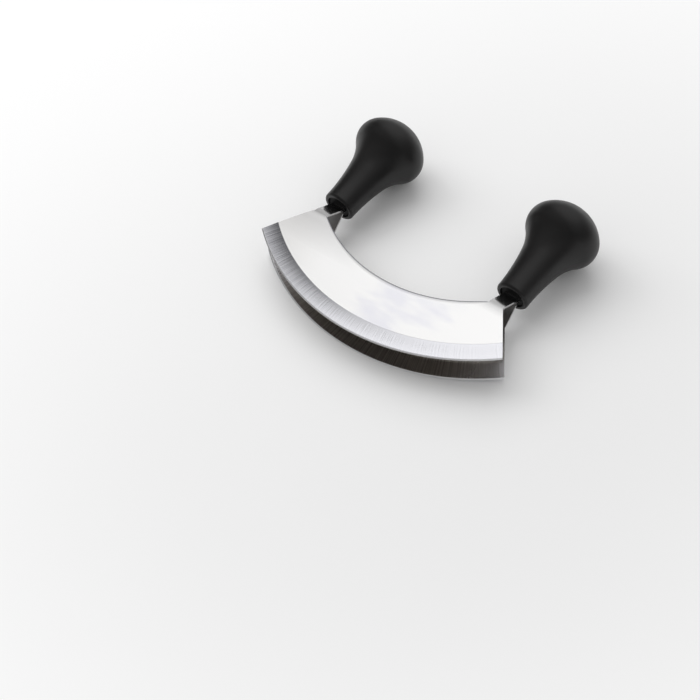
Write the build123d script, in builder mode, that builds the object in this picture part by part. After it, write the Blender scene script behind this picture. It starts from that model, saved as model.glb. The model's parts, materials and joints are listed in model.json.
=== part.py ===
from build123d import *
import os
from math import asin, atan2, cos, hypot, sin, sqrt

os.makedirs("parts", exist_ok=True)

# A double-bladed mezzaluna: two parallel arched steel blades with a moulded knob handle at each end.
# It lies as it rests on a table, on the lower blade's cutting edge and on the rims of both knobs.
# X runs along the chord from the left handle to the right one, Y from the belly towards the knobs.
# Every piece is drawn in the tool's own plane, which is tilted by the angle of that rest. There a
# height counts up the handles from the belly, and a depth counts out from halfway between the blades.

# Blades
chord = 174.4
edge_radius = 138.6
spine_radius = 97.0
blade_depth = 39.2
blade_thickness = 1.5
blade_gap = 18.35
grind_width = 10.6
land_width = 0.9
land_thickness = 0.45
edge_thickness = 0.12

# Tangs, one at each end of a blade, bent in to meet their twins at the handle's mouth
tang_width = 9.6
tang_rise = 14.6
shoulder_bend_radius = 14.0
mouth_bend_radius = 3.0
shoulder_fillet = 3.0
tang_reach = 34.0
tang_end_round = 2.4
tang_clearance = 0.15

# Rivets, each tying the two tangs together inside its handle
rivet_diameter = 4.0
rivet_head_diameter = 7.0
rivet_head_height = 1.2
rivet_reach = 22.0
rivet_bevel = 0.5
rivet_clearance = 0.1

# Handles, turned forms with a slim neck and a full round knob
handle_inset = 23.7
mouth_radius = 10.45
mouth_edge_round = 1.4
neck_swell = 2.95
neck_share = 0.57
knob_reach = 52.4
knob_radius = 23.4
rim_radius = 12.0
dome_height = 17.87

# Slotted plugs that close the handles' mouths around the tangs
plug_radius = 7.8
plug_depth = 6.0
plug_recess = 0.8
plug_bevel = 0.4
plug_clearance = 0.15

# How far each cut runs past the face that it leaves through
overrun = 1.0

# Heights, depths and places that follow from the sizes
half_chord = chord / 2
half_sheet = blade_thickness / 2
handle_place = half_chord - handle_inset
blade_middle = blade_gap / 2 + half_sheet
tip_height = edge_radius - sqrt(edge_radius ** 2 - half_chord ** 2)
tang_inner = handle_place - tang_width / 2
tang_outer = handle_place + tang_width / 2
spine_end = blade_depth + spine_radius - sqrt(spine_radius ** 2 - tang_inner ** 2)
mouth_height = spine_end + tang_rise
meeting_height = mouth_height - plug_recess
plug_base = mouth_height + plug_recess
tang_top = mouth_height + tang_reach
rivet_height = mouth_height + rivet_reach

# Knob: the dome's centre lies on the axis, and its arc runs tangent into the rim's arc
rim_middle = knob_radius - rim_radius
knob_height = mouth_height + knob_reach
dome_rise = dome_height - rim_radius
dome_drop = (rim_middle ** 2 - dome_rise ** 2) / (2 * dome_rise)
dome_radius = dome_height + dome_drop
dome_middle = knob_height - dome_drop
dome_top = knob_height + dome_height
dome_join = atan2(dome_drop, rim_middle)
rim_end = (rim_middle + rim_radius * cos(dome_join), knob_height + rim_radius * sin(dome_join))

# Neck: one arc widens it from the mouth, and a tighter one flares it out into the rim's arc
neck_start = mouth_height + mouth_edge_round
waist_radius = mouth_radius + neck_swell
waist_height = mouth_height + neck_share * knob_reach
neck_lean = 2 * atan2(neck_swell, waist_height - neck_start)
waist_out = waist_radius - rim_middle
waist_drop = knob_height - waist_height
waist_offset = waist_out * cos(neck_lean) + waist_drop * sin(neck_lean)
flare_radius = (waist_out ** 2 + waist_drop ** 2 - rim_radius ** 2) / (2 * (rim_radius - waist_offset))
flare_out = waist_out + flare_radius * cos(neck_lean)
flare_drop = waist_drop + flare_radius * sin(neck_lean)
rim_share = rim_radius / (rim_radius + flare_radius)
rim_start = (rim_middle + flare_out * rim_share, knob_height - flare_drop * rim_share)

# Half section of one face of the ground edge: distance in from the cutting arc, and half thickness
ground_face = (
    (0, edge_thickness / 2),
    (land_width, land_thickness / 2),
    (grind_width, half_sheet),
)

# Half of what the grinding leaves, from the arc's centre out, run on past the sheet's face and past its edge
past_edge = edge_thickness / 2
edge_slope = (land_thickness - edge_thickness) / 2 / land_width
grind_slope = (half_sheet - land_thickness / 2) / (grind_width - land_width)
kept_half = (
    (edge_radius, blade_middle + overrun),
    (grind_width + overrun, blade_middle + overrun),
    (grind_width + overrun, half_sheet + overrun * grind_slope),
    (land_width, land_thickness / 2),
    (-past_edge, edge_thickness / 2 - past_edge * edge_slope),
)


# Turn at which a line through one corner of the lower edge touches the round of the knobs' rims
def turn_on_corner(height, half_thickness):
    rise = knob_height - height
    step = blade_middle + half_thickness - rim_middle
    return asin(rim_radius / hypot(rise, step)) - atan2(step, rise)


# Rest of the whole tool: the corner that gives the least turn carries it
rest = min(turn_on_corner(height, half_thickness) for height, half_thickness in ground_face)
lift = rim_radius + rim_middle * cos(rest) - knob_height * sin(rest)
front_end = -(blade_middle + edge_thickness / 2) * sin(rest)
back_end = dome_middle * cos(rest) + dome_radius
tool = Plane(
    origin=(0, -(front_end + back_end) / 2, lift),
    x_dir=(1, 0, 0),
    z_dir=(0, -sin(rest), cos(rest)),
)

# Side view of the tool, height across and depth up
side_view = Plane(origin=tool.origin, x_dir=tool.y_dir, z_dir=tool.x_dir)

# Section through the cutting arc's centre, radius across and depth up
edge_section = Plane(
    origin=tool.from_local_coords((0, edge_radius, 0)),
    x_dir=tool.y_dir,
    z_dir=tool.x_dir,
)


# Plane across a handle's axis at one height, facing up the handle
def handle_plane(hand, height):
    centre = tool.from_local_coords((hand * handle_place, height, 0))
    return Plane(origin=centre, x_dir=tool.x_dir, z_dir=tool.y_dir)


# Blades: each is one sheet, cut to its outline, bent at both tangs and ground on both faces
for blade_name, facing in (("front", 1), ("rear", -1)):
    outer_face = facing * (blade_middle + half_sheet)
    with BuildPart() as blade:
        # Outline of the flat face: cutting arc, straight ends, tangs and arched spine
        with BuildSketch(tool) as outline:
            with BuildLine():
                cutting = ThreePointArc((-half_chord, tip_height), (0, 0), (half_chord, tip_height))
                right_end = Polyline(
                    cutting @ 1,
                    (tang_outer, spine_end),
                    (tang_outer, tang_top),
                    (tang_inner, tang_top),
                    (tang_inner, spine_end),
                )
                spine = ThreePointArc(right_end @ 1, (0, blade_depth), (-tang_inner, spine_end))
                Polyline(
                    spine @ 1,
                    (-tang_inner, tang_top),
                    (-tang_outer, tang_top),
                    (-tang_outer, spine_end),
                    cutting @ 0,
                )
            make_face()
            corners = outline.vertices()
            fillet(corners.group_by(Axis.Y)[-1], tang_end_round)
            roots = corners.filter_by_position(Axis.Y, tip_height + overrun, spine_end + overrun)
            fillet(roots, shoulder_fillet)
        extrude(amount=blade_middle + blade_thickness, both=True)

        # Bent sheet seen from the side: flat to the shoulder, in to the middle, straight up the handle
        with BuildSketch(side_view):
            with BuildLine():
                FilletPolyline(
                    (-overrun, outer_face),
                    (spine_end, outer_face),
                    (meeting_height, facing * blade_thickness),
                    (tang_top + overrun, facing * blade_thickness),
                    radius=[shoulder_bend_radius + blade_thickness, mouth_bend_radius],
                )
                offset(amount=blade_thickness, side=Side.RIGHT if facing > 0 else Side.LEFT)
            make_face()
        extrude(amount=half_chord + overrun, both=True, mode=Mode.INTERSECT)

        # Ground edge: only what lies within a section turned about the cutting arc's centre is kept
        front_side = [(edge_radius - inset, facing * blade_middle + half) for inset, half in kept_half]
        rear_side = [(edge_radius - inset, facing * blade_middle - half) for inset, half in kept_half]
        with BuildSketch(edge_section):
            with BuildLine():
                Polyline(*front_side, *reversed(rear_side), close=True)
            make_face()
        revolve(axis=Axis(edge_section.origin, tool.z_dir), mode=Mode.INTERSECT)

        # Holes for the rivets
        for hand in (-1, 1):
            with BuildSketch(tool):
                with Locations((hand * handle_place, rivet_height)):
                    Circle(rivet_diameter / 2 + rivet_clearance)
            extrude(amount=blade_middle, both=True, mode=Mode.SUBTRACT)
    blade.part.label = f"{blade_name}_blade"
    export_step(blade.part, f"parts/{blade_name}_blade.step")


# Pieces that repeat at both ends of the tool
for hand_name, hand in (("left", -1), ("right", 1)):
    mouth = handle_plane(hand, mouth_height)
    axis = Axis(mouth.origin, tool.y_dir)

    # Handle: half section turned about its axis, then bored for the plug and the tangs
    with BuildPart() as handle:
        section_origin = tool.from_local_coords((hand * handle_place, 0, 0))
        with BuildSketch(Plane(origin=section_origin, x_dir=tool.x_dir, z_dir=tool.z_dir)):
            with BuildLine():
                mouth_face = Line((0, mouth_height), (mouth_radius - mouth_edge_round, mouth_height))
                edge_round = RadiusArc(
                    mouth_face @ 1,
                    (mouth_radius, mouth_height + mouth_edge_round),
                    -mouth_edge_round,
                )
                neck = TangentArc(edge_round @ 1, (waist_radius, waist_height), tangent=(0, 1))
                flare = RadiusArc(neck @ 1, rim_start, flare_radius)
                rim = ThreePointArc(flare @ 1, (knob_radius, knob_height), rim_end)
                dome = RadiusArc(rim @ 1, (0, dome_top), -dome_radius)
                Line(dome @ 1, mouth_face @ 0)
            make_face()
        revolve(axis=axis)
        with BuildSketch(mouth):
            Circle(plug_radius + plug_clearance)
        extrude(amount=plug_recess + plug_depth, mode=Mode.SUBTRACT)
        with BuildSketch(mouth):
            Circle(hypot(tang_width / 2, blade_thickness) + tang_clearance)
        extrude(amount=tang_reach + tang_clearance, mode=Mode.SUBTRACT)
    handle.part.label = f"{hand_name}_handle"
    export_step(handle.part, f"parts/{hand_name}_handle.step")

    # Mouth plug: a disc just inside the mouth with a slot for the pair of tangs
    with BuildPart() as plug:
        with BuildSketch(handle_plane(hand, plug_base)):
            Circle(plug_radius)
        extrude(amount=plug_depth)
        chamfer(plug.edges().group_by(axis)[0], plug_bevel)
        with BuildSketch(handle_plane(hand, plug_base)):
            Rectangle(tang_width + 2 * tang_clearance, 2 * (blade_thickness + tang_clearance))
        extrude(amount=plug_depth, mode=Mode.SUBTRACT)
    plug.part.label = f"{hand_name}_mouth_plug"
    export_step(plug.part, f"parts/{hand_name}_mouth_plug.step")

    # Tang rivet: a shank through both tangs with a low bevelled head on each outer face
    with BuildPart() as rivet:
        rivet_origin = tool.from_local_coords((hand * handle_place, rivet_height, 0))
        rivet_plane = Plane(origin=rivet_origin, x_dir=tool.x_dir, z_dir=tool.z_dir)
        with BuildSketch(rivet_plane):
            Circle(rivet_diameter / 2)
        extrude(amount=blade_thickness, both=True)
        for end in (1, -1):
            with BuildSketch(rivet_plane.offset(end * blade_thickness)):
                Circle(rivet_head_diameter / 2)
            extrude(amount=end * rivet_head_height)
        rims = rivet.edges().group_by(Axis(rivet_origin, tool.z_dir))
        chamfer(rims[0] + rims[-1], rivet_bevel)
    rivet.part.label = f"{hand_name}_tang_rivet"
    export_step(rivet.part, f"parts/{hand_name}_tang_rivet.step")
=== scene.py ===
import json
from math import radians
from types import SimpleNamespace

import bmesh
import bpy
from mathutils import Matrix, Vector

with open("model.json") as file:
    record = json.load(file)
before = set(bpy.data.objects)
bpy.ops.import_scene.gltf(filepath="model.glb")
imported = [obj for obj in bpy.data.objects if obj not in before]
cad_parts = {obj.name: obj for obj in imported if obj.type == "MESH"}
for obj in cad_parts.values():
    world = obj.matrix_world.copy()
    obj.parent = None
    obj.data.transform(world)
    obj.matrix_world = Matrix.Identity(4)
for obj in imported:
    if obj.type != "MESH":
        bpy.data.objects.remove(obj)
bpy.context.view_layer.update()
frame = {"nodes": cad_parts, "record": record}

# Sizes of the tool that its finish follows, in metres, with heights from the lowest point of the edge
edge_radius = 0.1386
grind_width = 0.0106
land_width = 0.0009
spine_radius = 0.0970
spine_centre_height = 0.1362
spine_end_height = 0.0590
meeting_height = 0.0728
blade_middle = 0.009925
half_sheet = 0.00075
land_half = 0.000225
outer_face = blade_middle + half_sheet
rack_height = 0.025

# The tool's own directions and its origin, from the flat face that a magnetic rack holds
mounts = {mount["name"]: mount for mount in frame["record"]["mounts"]}
rack_face = mounts["magnetic_rack_front"]
out_way = Vector(rack_face["axis"]).normalized()
chord_way = Vector((1, 0, 0))
up_way = out_way.cross(chord_way)
belly = Vector(rack_face["pos_m"]) - rack_height * up_way - outer_face * out_way
edge_centre = belly + edge_radius * up_way

# Where the finish of the steel, its painted shade and its painted reflection change, in metres. A pair holds
# the start and the end of a change, and the two at the spine count below zero into the steel
border = 0.00012
# Painted shade in a faint line on the ridge
ridge_half = 0.0003
inner_border = 0.00005
# The inner sides and their painted shade fade towards the ends
inner_fade = (0.048, 0.088)
flat_top_fade = 0.001
# Painted shade in a dark line along the spine
rim_line = (-0.0008, -0.0002)
# Painted shade in a soft band under the spine
soft_rim = (-0.0026, -0.0004)
# Painted reflection: the flat face greyer and warmer towards its left end
left_reflection_across = (-0.075, -0.035)
# Painted shade up the flat face's left end and at both shoulders
left_shade_across = (-0.036, -0.010)
left_shade_up = (0.033, 0.060)
shoulder_up = (0.0515, 0.0590)
# Painted shade on the ground band towards the left end
ground_shade_left = (-0.085, 0.0)

# Shares: of the half sheet, where its inner side starts, and of the inner painted shade, what the tool's
# ends keep
inner_share = 0.7
inner_shade_end_share = 0.35

# Lines that the wheel and the belt leave, and the depths of their marks, in metres
grinding_lines = {"Pitch": 0.00016, "Length": 0.016}
satin_lines = {"Pitch": 0.00012, "Length": 0.035}
line_depth = 0.000002
satin_depth = 0.0000004
stroke_depth = 0.000006

# Curve of the hollow that the wheel leaves, in and between its strokes, in 1/metre, and the honed slope
hollow_curves = (2.4, 3.6)
honed_slope = 0.18

# Faint clouds on the flat face: their middle in metres, and how close and how thin they get, per metre
cloud_middle = 0.016
cloud_thinning = 9.0
clouds_across = 34.0
clouds_up = 85.0

# Patterns: the stretch of a noise over which each goes from none to full
cloud_range = (0.22, 0.54)
stroke_range = (0.32, 0.68)
satin_range = (0.3, 0.7)
spot_range = (0.3, 0.7)
skin_cloud_range = (0.35, 0.65)

# Patterns: detail and roughness of the noise, and the scale of a broad stroke as a share of a fine line's
fine_line_noise = (3.0, 0.7)
stroke_noise = (3.0, 0.6)
stroke_share = 0.16
spot_noise = (3.0, 0.6)
skin_cloud_noise = (4.0, 0.6)
mottle_noise = (3.0, 0.5)

# Tones of the steel
flat_steel = (0.98, 0.975, 0.97, 1)
# Painted reflection of a darker room, greyer and warmer at the flat face's left end
left_flat_reflection_steel = (0.87, 0.86, 0.85, 1)
cloud_steel = (0.875, 0.872, 0.92, 1)
# Painted shade on the flat face: its colour, and how much of it goes up the left end, on the shoulders and
# under the spine
painted_shade_steel = (0.0, 0.0, 0.02, 1)
left_shade_share = 0.31
shoulder_shade_share = 0.28
under_spine_shade_share = 0.35
stroke_steel = (0.85, 0.85, 0.89, 1)
# Painted shade: strokes and the steel between them darker at the left end of the ground band
shaded_left_stroke_steel = (0.38, 0.38, 0.41, 1)
between_steel = (0.93, 0.93, 0.97, 1)
shaded_left_between_steel = (0.72, 0.72, 0.75, 1)
# Painted shade in lines along the spine and on the ridge: its colour and how much of it each line takes
line_shade_steel = (0.13, 0.13, 0.15, 1)
spine_line_shade = 0.9
ridge_line_shade = 0.25
# Painted shade and reflection on the inner faces, where each blade mirrors the dark side of the other,
# darker still on the tangs
inner_stroke_shade_steel = (0.29, 0.265, 0.245, 1)
inner_between_shade_steel = (0.51, 0.485, 0.46, 1)
tang_shade_steel = (0.19, 0.185, 0.185, 1)
land_steel = (0.88, 0.88, 0.89, 1)

# Gloss of the steel
flat_roughness = (0.18, 0.20)
ground_roughness = (0.16, 0.22)
inner_roughness = 0.32
land_roughness = 0.35
steel_anisotropy = 0.5

# Rivets
rivet_tones = ((0.62, 0.62, 0.64, 1), (0.72, 0.72, 0.74, 1))
rivet_roughness = (0.3, 0.45)
rivet_spots = 900.0

# Black moulded plastic: handles with a satin gloss, duller plugs
handle_tones = ((0.0036, 0.0032, 0.0032, 1), (0.0056, 0.0051, 0.0051, 1))
handle_roughness = (0.37, 0.44)
handle_shine = 0.45
plug_tones = ((0.003, 0.003, 0.003, 1), (0.005, 0.005, 0.005, 1))
plug_roughness = (0.5, 0.6)
plug_shine = 0.12
plastic_index = 1.46
skin_clouds = 55.0
skin_grain = 4200.0
grain_depth = 0.00003
grain_strength = 0.3

# Floor: pale round the tool, and plain white past a distance, in metres
floor_half_width = 3.0
floor_tones = ((0.85, 0.85, 0.85, 1), (0.865, 0.865, 0.865, 1))
floor_mottle = 6.0
floor_white_range = (0.11, 0.5)
floor_roughness = 0.8
floor_shine = 0.2
white = (1.0, 1.0, 1.0, 1.0)
black = (0.0, 0.0, 0.0, 1)

# Softboxes: name, place and width in metres, and watts
softboxes = (
    ("softbox_back", (-0.60, 0.50, 1.10), 1.4, 9.0),
    ("softbox_left", (-1.00, -0.15, 0.85), 0.7, 3.5),
)

# Room as steel and plastic reflect it: a way, how far along it a change starts and ends, and both levels
room_walls = ((0.0, 0.0, 1.0), 0.3, 0.84, 0.22, 0.5)
room_overhead = ((-0.07, 0.42, 0.90), 0.66, 0.88, 0.0, 1.0)
room_back = ((0.0, 1.0, 0.0), 0.5, 0.85, 0.0, 0.65)
right_of_dark = ((1.0, 1.2, 0.0), -0.36, -0.17, 0.02, 1.0)
left_of_dark = ((1.0, 1.2, 0.0), -0.56, -0.42, 0.8, 0.02)
room_light = 0.6
room_seen = 1.0

# Camera: its place and the point that it looks at, in metres, its turn about the line of sight, in
# degrees, and its lens and sensor, in millimetres
camera_spot = (0.35477, -0.43736, 0.63650)
camera_aim = (0.00662, -0.07609, 0.00946)
camera_roll = -7.155
focal_length = 72.7
sensor_width = 36.0


# Shader nodes

class Graph:
    """Adds nodes to one node tree with short calls."""

    def __init__(self, tree):
        self.tree = tree

    def node(self, kind, **settings):
        made = self.tree.nodes.new(kind)
        for name, value in settings.items():
            setattr(made, name, value)
        return made

    def feed(self, socket, value):
        if isinstance(value, bpy.types.NodeSocket):
            self.tree.links.new(value, socket)
        elif value is not None:
            socket.default_value = value

    def math(self, operation, first, second=None, clamp=False):
        made = self.node("ShaderNodeMath", operation=operation, use_clamp=clamp)
        self.feed(made.inputs[0], first)
        self.feed(made.inputs[1], second)
        return made.outputs[0]

    def plus(self, first, second, clamp=False):
        return self.math("ADD", first, second, clamp)

    def minus(self, first, second):
        return self.math("SUBTRACT", first, second)

    def times(self, first, second):
        return self.math("MULTIPLY", first, second)

    def distance(self, value, middle):
        return self.math("ABSOLUTE", self.minus(value, middle))

    def highest(self, first, *others):
        for other in others:
            first = self.math("MAXIMUM", first, other)
        return first

    def vector(self, operation, first, second=None):
        made = self.node("ShaderNodeVectorMath", operation=operation)
        self.feed(made.inputs[0], first)
        self.feed(made.inputs[1], second)
        return made.outputs["Value" if operation in ("DOT_PRODUCT", "LENGTH") else "Vector"]

    def combine(self, x, y, z=0.0):
        made = self.node("ShaderNodeCombineXYZ")
        for socket, value in zip(made.inputs, (x, y, z)):
            self.feed(socket, value)
        return made.outputs[0]

    def noise(self, place, scale, detail=2.0, roughness=0.5):
        made = self.node("ShaderNodeTexNoise")
        settings = {"Vector": place, "Scale": scale, "Detail": detail, "Roughness": roughness}
        for label, value in settings.items():
            self.feed(made.inputs[label], value)
        return made.outputs["Fac"]

    def ramp(self, value, low, high, to_low=0.0, to_high=1.0, shape="SMOOTHSTEP"):
        made = self.node("ShaderNodeMapRange", interpolation_type=shape)
        for socket, part in zip(made.inputs, (value, low, high, to_low, to_high)):
            self.feed(socket, part)
        return made.outputs[0]

    def up_to(self, value, limit):
        """A mask that is 1 below the limit and 0 above it, over a thin border."""
        return self.ramp(value, limit - border, limit + border, 1.0, 0.0)

    def mix(self, share, first, second, kind="RGBA"):
        made = self.node("ShaderNodeMix", data_type=kind)
        places = {"FLOAT": (2, 3, 0), "VECTOR": (4, 5, 1), "RGBA": (6, 7, 2)}[kind]
        self.feed(made.inputs["Factor"], share)
        self.feed(made.inputs[places[0]], first)
        self.feed(made.inputs[places[1]], second)
        return made.outputs[places[2]]

    def bump(self, height, depth=1.0, strength=1.0):
        made = self.node("ShaderNodeBump")
        for label, value in (("Height", height), ("Distance", depth), ("Strength", strength)):
            self.feed(made.inputs[label], value)
        return made.outputs["Normal"]

    def use(self, tree, **values):
        made = self.node("ShaderNodeGroup", node_tree=tree)
        for label, value in values.items():
            self.feed(made.inputs[label.replace("_", " ")], value)
        return made.outputs


def group(name, inputs, outputs):
    tree = bpy.data.node_groups.new(name, "ShaderNodeTree")
    for label in inputs:
        kind = "NodeSocketVector" if label == "Place" else "NodeSocketFloat"
        tree.interface.new_socket(label, in_out="INPUT", socket_type=kind)
    for label in outputs:
        tree.interface.new_socket(label, in_out="OUTPUT", socket_type="NodeSocketFloat")
    graph = Graph(tree)
    return graph, graph.node("NodeGroupInput").outputs, graph.node("NodeGroupOutput").inputs


def material(name):
    made = bpy.data.materials.new(name)
    made.use_nodes = True
    graph = Graph(made.node_tree)
    shader = made.node_tree.nodes["Principled BSDF"].inputs
    place = graph.node("ShaderNodeTexCoord").outputs["Object"]
    return made, graph, shader, place


# Place in the tool's own frame: along the chord, up the handles from the belly, out from the middle
def tool_place_group():
    graph, given, out = group("tool_place", ["Place"], ["Across", "Up", "Out"])
    from_belly = graph.vector("SUBTRACT", given["Place"], tuple(belly))
    for label, way in (("Across", chord_way), ("Up", up_way), ("Out", out_way)):
        graph.feed(out[label], graph.vector("DOT_PRODUCT", from_belly, tuple(way)))
    return graph.tree


# Place by an arc: how far inside it, and how far round it from the middle
def arc_place_group():
    graph, given, out = group("arc_place", ["Across", "Up", "Centre Height", "Radius"], ["Inset", "Along"])
    drop = graph.minus(given["Centre Height"], given["Up"])
    reach = graph.vector("LENGTH", graph.combine(given["Across"], drop))
    turn = graph.math("ARCTAN2", given["Across"], drop)
    graph.feed(out["Inset"], graph.minus(given["Radius"], reach))
    graph.feed(out["Along"], graph.times(turn, given["Radius"]))
    return graph.tree


# Lines that a belt or a wheel leaves: long one way, close together the other way
def polish_lines_group():
    given_names = ["Across Lines", "Along Lines", "Pitch", "Length"]
    graph, given, out = group("polish_lines", given_names, ["Fine", "Broad"])
    place = graph.combine(graph.math("DIVIDE", given["Across Lines"], given["Pitch"]),
                          graph.math("DIVIDE", given["Along Lines"], given["Length"]))
    graph.feed(out["Fine"], graph.noise(place, 1.0, *fine_line_noise))
    graph.feed(out["Broad"], graph.noise(place, stroke_share, *stroke_noise))
    return graph.tree


# Skin of a moulded piece: soft clouds in its tone and a fine grain
def moulded_skin_group():
    graph, given, out = group("moulded_skin", ["Place"], ["Clouds", "Grain"])
    graph.feed(out["Clouds"], graph.noise(given["Place"], skin_clouds, *skin_cloud_noise))
    graph.feed(out["Grain"], graph.noise(given["Place"], skin_grain))
    return graph.tree


tool_place = tool_place_group()
arc_place = arc_place_group()
polish_lines = polish_lines_group()
moulded_skin = moulded_skin_group()


# Blade: a flat satin face, a ground band with lines square to the edge, and a bright honed land

# The side of a sheet that faces the other blade, which carries painted shade, weaker towards the ends of the
# tool
def inner_side(graph, tool, inset):
    sheet_middle = graph.ramp(tool["Up"], spine_end_height, meeting_height, blade_middle, half_sheet,
                              "LINEAR")
    past_middle = graph.minus(graph.math("ABSOLUTE", tool["Out"]), sheet_middle)
    face = graph.ramp(inset, land_width, grind_width, -inner_share * land_half, -inner_share * half_sheet,
                      "LINEAR")
    inner = graph.ramp(graph.minus(past_middle, face), -inner_border, inner_border, 1.0, 0.0)
    weaker = graph.ramp(graph.math("ABSOLUTE", tool["Across"]), *inner_fade, 1.0, inner_shade_end_share)
    return graph.times(inner, weaker)


# Masks of the blade's zones, and the measures and lines that its finish follows
def blade_zones(graph, place):
    tool = graph.use(tool_place, Place=place)
    across, up = tool["Across"], tool["Up"]
    edge = graph.use(arc_place, Across=across, Up=up, Centre_Height=edge_radius, Radius=edge_radius)
    spine = graph.use(arc_place, Across=across, Up=up, Centre_Height=spine_centre_height,
                      Radius=spine_radius)
    inset = edge["Inset"]
    grinding = graph.use(polish_lines, Across_Lines=edge["Along"], Along_Lines=inset, **grinding_lines)
    satin = graph.use(polish_lines, Across_Lines=up, Along_Lines=across, **satin_lines)
    return SimpleNamespace(
        across=across,
        up=up,
        inset=inset,
        past_spine=spine["Inset"],
        ground=graph.up_to(inset, grind_width),
        land=graph.up_to(inset, land_width),
        inner=inner_side(graph, tool, inset),
        below_tangs=graph.ramp(up, spine_end_height - flat_top_fade, spine_end_height, 1.0, 0.0),
        strokes=graph.ramp(grinding["Broad"], *stroke_range),
        fine_lines=grinding["Fine"],
        satin=satin,
    )


# Faint cool clouds right of the middle, a painted reflection that makes the left end warmer and greyer, and
# painted shade up the left end, at both shoulders and in a soft line under the spine
def flat_tone(graph, zones):
    # Painted reflection that makes the flat face greyer and warmer towards its left end
    tone = graph.mix(graph.ramp(zones.across, *left_reflection_across), left_flat_reflection_steel, flat_steel)
    cloud_place = graph.combine(graph.times(zones.across, clouds_across), graph.times(zones.up, clouds_up))
    off_clouds = graph.times(graph.distance(zones.across, cloud_middle), cloud_thinning)
    clouds = graph.ramp(graph.minus(graph.noise(cloud_place, 1.0), off_clouds), *cloud_range)
    tone = graph.mix(clouds, tone, cloud_steel)
    # Painted shade up the left end, at both shoulders and in a soft band under the spine
    left_shade_half = graph.ramp(zones.across, *left_shade_across, 1.0, 0.0)
    up_left_shade = graph.times(left_shade_half, graph.ramp(zones.up, *left_shade_up, 0.0, left_shade_share, "LINEAR"))
    shoulder_shade = graph.ramp(zones.up, *shoulder_up, 0.0, shoulder_shade_share)
    under_spine_shade = graph.times(graph.ramp(zones.past_spine, *soft_rim, 0.0, under_spine_shade_share), zones.below_tangs)
    return graph.mix(graph.highest(up_left_shade, shoulder_shade, under_spine_shade), tone, painted_shade_steel)


# The ground band and its strokes, with painted shade that makes it darkest at the left end
def ground_tone(graph, zones):
    # Painted shade, darkest at the left end
    left_end_shade = graph.ramp(zones.across, *ground_shade_left, 1.0, 0.0)
    stroke_tone = graph.mix(left_end_shade, stroke_steel, shaded_left_stroke_steel)
    between_tone = graph.mix(left_end_shade, between_steel, shaded_left_between_steel)
    return graph.mix(zones.strokes, stroke_tone, between_tone)


# All zones, with a painted dark shade line along the spine, a faint painted shade line on the ridge and
# inner faces browner with painted shade and reflection
def steel_tone(graph, zones):
    tone = graph.mix(zones.ground, flat_tone(graph, zones), ground_tone(graph, zones))
    # Painted shade: a dark line along the spine and a faint line on the ridge
    rim = graph.times(graph.ramp(zones.past_spine, *rim_line), zones.below_tangs)
    ridge = graph.ramp(graph.distance(zones.inset, grind_width), 0.0, ridge_half, 1.0, 0.0)
    line_shades = graph.plus(graph.times(rim, spine_line_shade), graph.times(ridge, ridge_line_shade), clamp=True)
    tone = graph.mix(line_shades, tone, line_shade_steel)
    # Painted shade and reflection on the inner faces, darker on the tangs
    inner_shade = graph.mix(zones.strokes, inner_stroke_shade_steel, inner_between_shade_steel)
    inner_shade = graph.mix(zones.below_tangs, tang_shade_steel, inner_shade)
    tone = graph.mix(zones.inner, tone, inner_shade)
    return graph.mix(zones.land, tone, land_steel)


def steel_roughness(graph, zones):
    flat = graph.ramp(zones.satin["Broad"], *satin_range, *flat_roughness)
    ground = graph.mix(zones.strokes, *ground_roughness, "FLOAT")
    rough = graph.mix(zones.ground, flat, ground, "FLOAT")
    rough = graph.mix(zones.inner, rough, inner_roughness, "FLOAT")
    return graph.mix(zones.land, rough, land_roughness, "FLOAT")


# Relief in metres: fine lines, the strokes of the wheel, the slight hollow that it leaves, the honed slope
def steel_relief(graph, zones):
    across_hollow = graph.times(graph.minus(zones.inset, land_width), graph.minus(zones.inset, grind_width))
    hollow = graph.times(across_hollow, graph.mix(zones.strokes, *hollow_curves, "FLOAT"))
    wheel = graph.plus(graph.times(zones.fine_lines, line_depth), graph.times(zones.strokes, stroke_depth))
    on_grind = graph.times(graph.plus(hollow, wheel), graph.minus(zones.ground, zones.land))
    honed = graph.times(graph.times(zones.land, zones.inset), honed_slope)
    return graph.plus(graph.plus(on_grind, honed), graph.times(zones.satin["Fine"], satin_depth))


# Light spreads square to the lines: round the edge on the grind, up the blade on the flat face
def spread_way(graph, place):
    from_centre = graph.vector("SUBTRACT", place, tuple(edge_centre))
    round_edge = graph.vector("CROSS_PRODUCT", tuple(out_way), from_centre)
    reach = graph.vector("LENGTH", round_edge)
    on_flat = graph.up_to(reach, edge_radius - grind_width)
    return graph.mix(on_flat, graph.vector("NORMALIZE", round_edge), tuple(up_way), "VECTOR")


def blade_steel():
    made, graph, shader, place = material("blade_steel")
    zones = blade_zones(graph, place)
    graph.feed(shader["Base Color"], steel_tone(graph, zones))
    graph.feed(shader["Roughness"], steel_roughness(graph, zones))
    graph.feed(shader["Normal"], graph.bump(steel_relief(graph, zones)))
    graph.feed(shader["Tangent"], spread_way(graph, place))
    shader["Metallic"].default_value = 1.0
    shader["Anisotropic"].default_value = steel_anisotropy
    return made


# Handles, plugs and rivets

def moulded_black(name, tones, roughness, shine):
    made, graph, shader, place = material(name)
    skin = graph.use(moulded_skin, Place=place)
    graph.feed(shader["Base Color"], graph.mix(skin["Clouds"], *tones))
    graph.feed(shader["Roughness"], graph.ramp(skin["Clouds"], *skin_cloud_range, *roughness))
    graph.feed(shader["Normal"], graph.bump(skin["Grain"], grain_depth, grain_strength))
    shader["IOR"].default_value = plastic_index
    shader["Specular IOR Level"].default_value = shine
    return made


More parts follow.
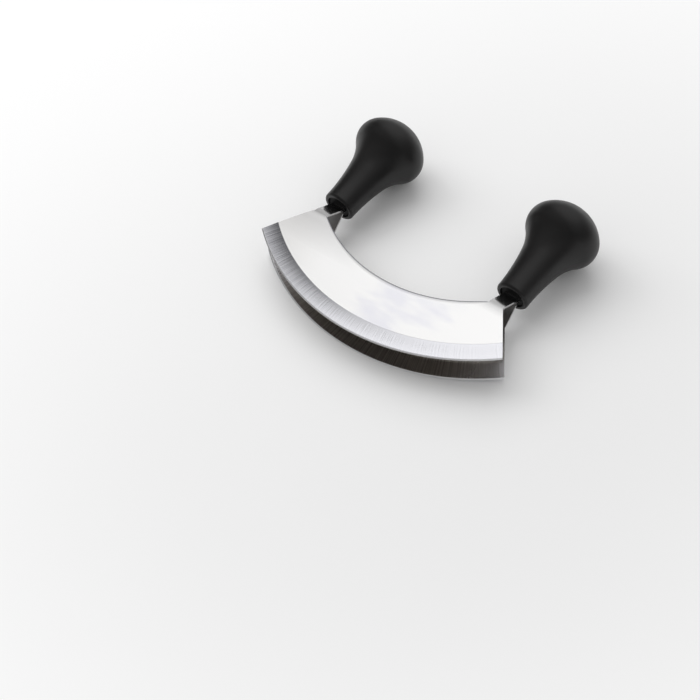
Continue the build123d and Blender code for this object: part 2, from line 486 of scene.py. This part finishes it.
def rivet_steel():
    made, graph, shader, place = material("rivet_steel")
    spots = graph.noise(place, rivet_spots, *spot_noise)
    graph.feed(shader["Base Color"], graph.mix(spots, *rivet_tones))
    graph.feed(shader["Roughness"], graph.ramp(spots, *spot_range, *rivet_roughness))
    shader["Metallic"].default_value = 1.0
    return made


# Each node takes the finish that the last word of its name says
finishes = {
    "blade": blade_steel(),
    "handle": moulded_black("handle_plastic", handle_tones, handle_roughness, handle_shine),
    "plug": moulded_black("plug_plastic", plug_tones, plug_roughness, plug_shine),
    "rivet": rivet_steel(),
}
for node_name, node in frame["nodes"].items():
    node.data.materials.clear()
    node.data.materials.append(finishes[node_name.split("_")[-1]])


# Studio

# Away from the tool and its shadow the floor runs out into plain white, for the eye and for reflections
def pale_floor_finish():
    made, graph, shader, place = material("pale_floor")
    pale = graph.mix(graph.noise(place, floor_mottle, *mottle_noise), *floor_tones)
    rays = graph.node("ShaderNodeLightPath").outputs
    seen = graph.plus(rays["Is Camera Ray"], rays["Is Glossy Ray"])
    seen = graph.plus(seen, rays["Is Transmission Ray"], clamp=True)
    whiteness = graph.times(seen, graph.ramp(graph.vector("LENGTH", place), *floor_white_range))
    graph.feed(shader["Base Color"], graph.mix(whiteness, pale, black))
    graph.feed(shader["Emission Strength"], whiteness)
    shader["Emission Color"].default_value = white
    shader["Roughness"].default_value = floor_roughness
    shader["Specular IOR Level"].default_value = floor_shine
    return made


def pale_floor():
    mesh = bpy.data.meshes.new("floor")
    shape = bmesh.new()
    bmesh.ops.create_grid(shape, x_segments=1, y_segments=1, size=floor_half_width)
    shape.to_mesh(mesh)
    shape.free()
    floor = bpy.data.objects.new("floor", mesh)
    bpy.context.scene.collection.objects.link(floor)
    mesh.materials.append(pale_floor_finish())


def softbox(name, spot, size, power):
    lamp = bpy.data.lights.new(name, "AREA")
    lamp.shape = "SQUARE"
    lamp.size = size
    lamp.energy = power
    made = bpy.data.objects.new(name, lamp)
    bpy.context.scene.collection.objects.link(made)
    made.location = spot
    made.rotation_euler = (-Vector(spot)).to_track_quat("-Z", "Y").to_euler()
    made.visible_glossy = False


# Room: white to the eye, and in the steel white overhead, greyer at the walls and dark at the left front
def studio_room():
    world = bpy.data.worlds.new("studio")
    bpy.context.scene.world = world
    world.use_nodes = True
    graph = Graph(world.node_tree)
    way = graph.vector("NORMALIZE", graph.node("ShaderNodeTexCoord").outputs["Generated"])

    def part_of_room(towards, *levels):
        return graph.ramp(graph.vector("DOT_PRODUCT", way, towards), *levels)

    beside_dark = graph.highest(part_of_room(*right_of_dark), part_of_room(*left_of_dark))
    bright = graph.highest(part_of_room(*room_walls), part_of_room(*room_overhead), part_of_room(*room_back))
    rays = graph.node("ShaderNodeLightPath").outputs
    level = graph.mix(rays["Is Glossy Ray"], room_light, graph.times(beside_dark, bright), "FLOAT")
    seen = graph.plus(rays["Is Camera Ray"], rays["Is Transmission Ray"], clamp=True)
    back = world.node_tree.nodes["Background"].inputs
    graph.feed(back["Strength"], graph.mix(seen, level, room_seen, "FLOAT"))
    back["Color"].default_value = white


def photo_camera():
    lens = bpy.data.cameras.new("camera")
    lens.lens = focal_length
    lens.sensor_width = sensor_width
    camera = bpy.data.objects.new("camera", lens)
    bpy.context.scene.collection.objects.link(camera)
    sight = Vector(camera_aim) - Vector(camera_spot)
    turned = sight.to_track_quat("-Z", "Y").to_matrix() @ Matrix.Rotation(radians(camera_roll), 3, "Z")
    camera.matrix_world = Matrix.Translation(camera_spot) @ turned.to_4x4()
    bpy.context.scene.camera = camera


pale_floor()
for softbox_values in softboxes:
    softbox(*softbox_values)
studio_room()
photo_camera()
bpy.context.scene.view_settings.view_transform = "Standard"
